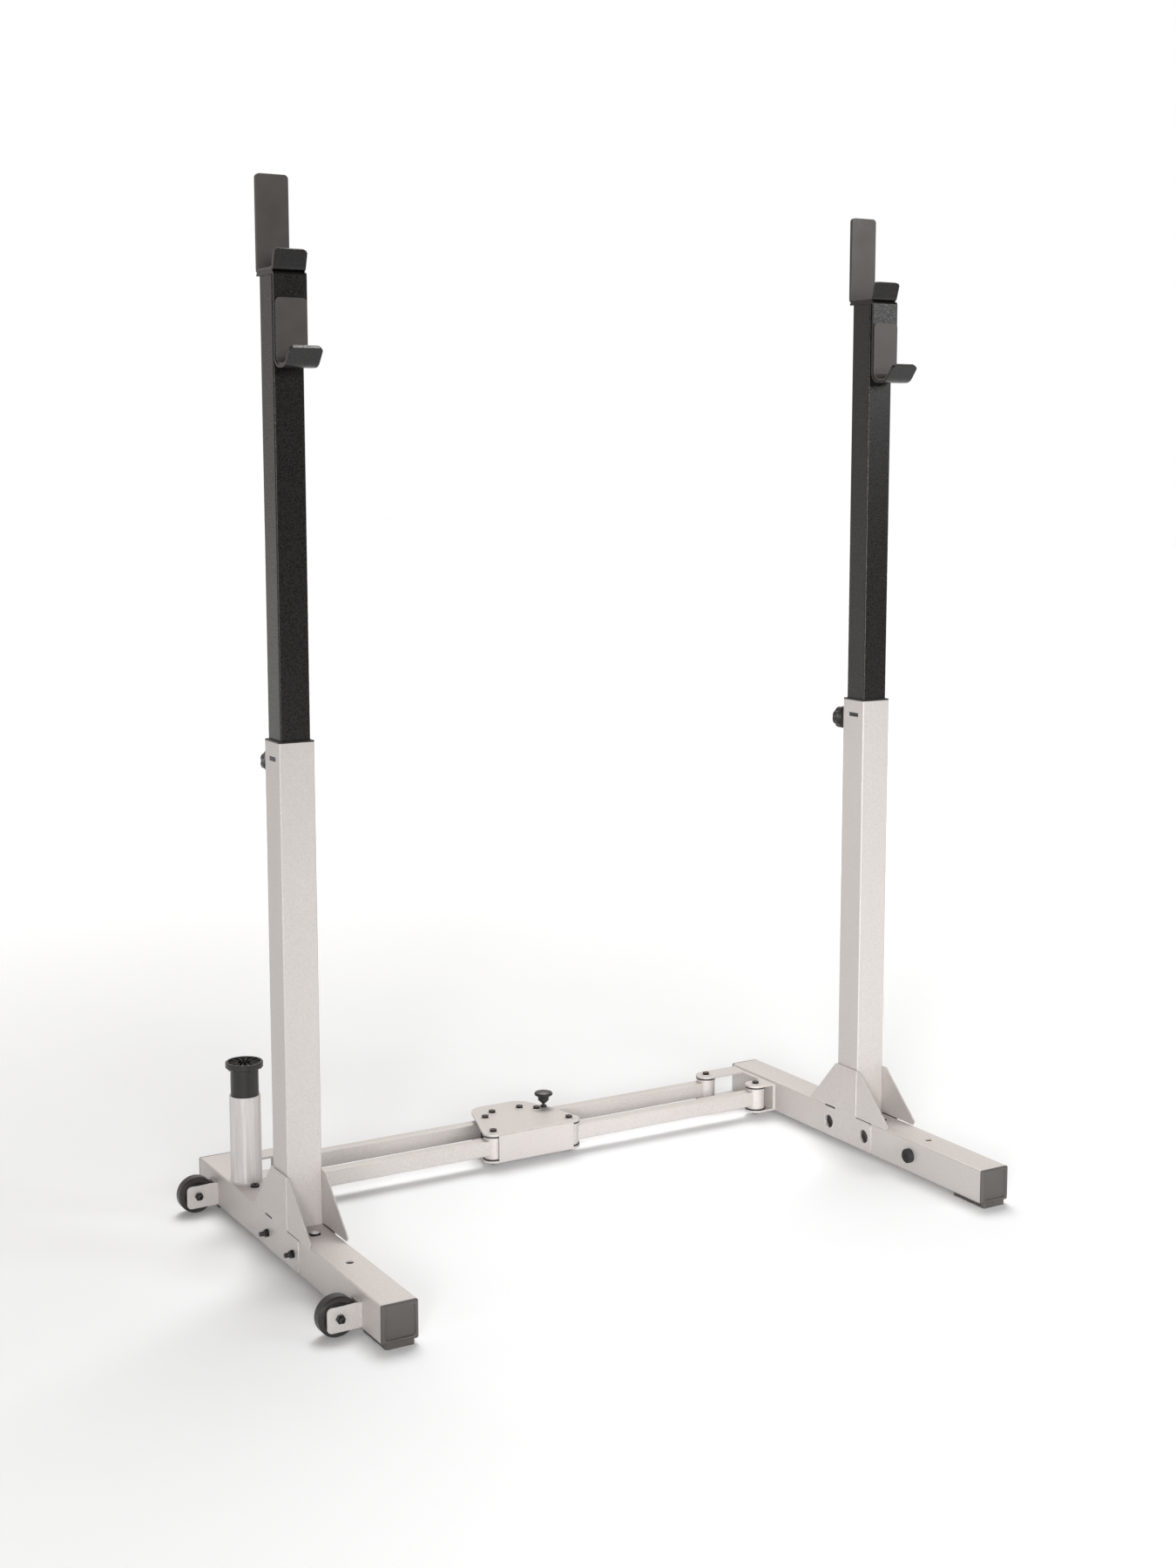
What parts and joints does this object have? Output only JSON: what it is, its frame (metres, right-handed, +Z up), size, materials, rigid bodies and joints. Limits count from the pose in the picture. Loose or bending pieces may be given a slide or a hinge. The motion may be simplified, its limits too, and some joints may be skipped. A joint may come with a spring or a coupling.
{
  "type": "folding squat rack",
  "caption": "Folding squat rack: telescoping uprights with hooks and cradles on two feet, joined by a floor-level folding link frame.",
  "frame": {"origin": "on the floor under the middle of the bounding box, 25.5 mm left of the middle between the posts", "axes": "+Z up, -Y to the front, the side the hooks open to, +X to the right stand"},
  "size_m": [1.351, 0.8215, 1.813],
  "materials": {
    "silver_coat": "fine-grained matt powder coat",
    "zinc_steel": "drawn tube, zinc plated",
    "black_coat": "fine-textured satin powder coat",
    "grey_plastic": "smooth satin",
    "black_plastic": "satin",
    "black_steel": "black oxide",
    "rubber": "matt",
    "tyre": "satin"
  },
  "bodies": {
    "left_stand": {"left_foot_tube": "silver_coat", "left_foot_front_cap": "grey_plastic", "left_foot_rear_cap": "grey_plastic", "left_post_plates": "silver_coat", "left_gussets": "silver_coat", "left_stand_bolts": "black_steel", "left_link_channel": "silver_coat", "left_channel_bolts": "black_steel", "left_bumper": "rubber", "left_lower_post": "silver_coat", "left_post_bushing": "black_plastic", "left_lock_collar": "silver_coat", "storage_tube": "zinc_steel", "storage_socket": "black_plastic", "wheel_brackets": "silver_coat", "wheel_axles": "black_steel"},
    "left_front_link": {"left_front_link": "silver_coat", "left_front_bushes": "black_plastic"},
    "left_rear_link": {"left_rear_link": "silver_coat", "left_rear_bushes": "black_plastic"},
    "housing": {"housing_top": "silver_coat", "housing_bottom": "silver_coat", "housing_wall": "silver_coat", "housing_bolts": "black_steel", "fold_lock_collar": "black_steel"},
    "fold_lock": {"fold_lock_knob": "black_plastic"},
    "right_front_link": {"right_front_link": "silver_coat", "right_front_bushes": "black_plastic"},
    "right_rear_link": {"right_rear_link": "silver_coat", "right_rear_bushes": "black_plastic"},
    "right_stand": {"right_foot_tube": "silver_coat", "right_foot_front_cap": "grey_plastic", "right_foot_rear_cap": "grey_plastic", "right_post_plates": "silver_coat", "right_gussets": "silver_coat", "right_stand_bolts": "black_steel", "right_link_channel": "silver_coat", "right_channel_bolts": "black_steel", "right_bumper": "rubber", "right_lower_post": "silver_coat", "right_post_bushing": "black_plastic", "right_lock_collar": "silver_coat"},
    "left_upper": {"left_upper_post": "black_coat", "left_glide": "black_plastic", "left_cradle_plate": "black_coat", "left_cradle_liner": "grey_plastic", "left_hook_strip": "black_coat", "left_hook_liner": "grey_plastic"},
    "right_upper": {"right_upper_post": "black_coat", "right_glide": "black_plastic", "right_cradle_plate": "black_coat", "right_cradle_liner": "grey_plastic", "right_hook_strip": "black_coat", "right_hook_liner": "grey_plastic"},
    "left_height_lock": {"left_height_knob": "black_plastic"},
    "right_height_lock": {"right_height_knob": "black_plastic"},
    "front_wheel": {"front_tyre": "tyre", "front_hub": "black_plastic"},
    "rear_wheel": {"rear_tyre": "tyre", "rear_hub": "black_plastic"}
  },
  "joints": [
    {"name": "fold", "type": "hinge", "parent": "housing", "child": "left_front_link", "pos_m": [-0.059, 0.266, 0.039], "axis": [0, 0, -1], "range_deg": [0, 90]},
    {"name": "left_stand_on_link", "type": "hinge", "parent": "left_front_link", "child": "left_stand", "pos_m": [-0.509, 0.266, 0.039], "axis": [0, 0, 1], "range_deg": [0, 90]},
    {"name": "left_rear_link_swing", "type": "hinge", "parent": "housing", "child": "left_rear_link", "pos_m": [-0.0055, 0.372, 0.039], "axis": [0, 0, -1], "range_deg": [0, 90]},
    {"name": "right_front_link_swing", "type": "hinge", "parent": "housing", "child": "right_front_link", "pos_m": [0.11, 0.266, 0.039], "axis": [0, 0, 1], "range_deg": [0, 90]},
    {"name": "right_rear_link_swing", "type": "hinge", "parent": "housing", "child": "right_rear_link", "pos_m": [0.0565, 0.372, 0.039], "axis": [0, 0, 1], "range_deg": [0, 90]},
    {"name": "right_stand_on_link", "type": "hinge", "parent": "right_front_link", "child": "right_stand", "pos_m": [0.56, 0.266, 0.039], "axis": [0, 0, -1], "range_deg": [0, 90]},
    {"name": "left_height", "type": "slide", "parent": "left_stand", "child": "left_upper", "axis": [0, 0, 1], "range_m": [-0.55, 0]},
    {"name": "left_height_lock_pull", "type": "slide", "parent": "left_stand", "child": "left_height_lock", "axis": [0, 1, 0], "range_m": [-0.008, 0]},
    {"name": "right_height", "type": "slide", "parent": "right_stand", "child": "right_upper", "axis": [0, 0, 1], "range_m": [-0.55, 0]},
    {"name": "right_height_lock_pull", "type": "slide", "parent": "right_stand", "child": "right_height_lock", "axis": [0, 1, 0], "range_m": [-0.008, 0]},
    {"name": "fold_lock_pull", "type": "slide", "parent": "housing", "child": "fold_lock", "axis": [0, 0, 1], "range_m": [-0.0055, 0]},
    {"name": "front_wheel_spin", "type": "hinge", "parent": "left_stand", "child": "front_wheel", "pos_m": [-0.6425, -0.3105, 0.0335], "axis": [0, 1, 0], "continuous": true},
    {"name": "rear_wheel_spin", "type": "hinge", "parent": "left_stand", "child": "rear_wheel", "pos_m": [-0.6425, 0.3215, 0.0335], "axis": [0, 1, 0], "continuous": true}
  ],
  "couplings": [
    {"joint": "left_stand_on_link", "follows": "fold", "ratio": 1},
    {"joint": "left_rear_link_swing", "follows": "fold", "ratio": 1},
    {"joint": "right_front_link_swing", "follows": "fold", "ratio": 1},
    {"joint": "right_rear_link_swing", "follows": "fold", "ratio": 1},
    {"joint": "right_stand_on_link", "follows": "fold", "ratio": 1}
  ]
}
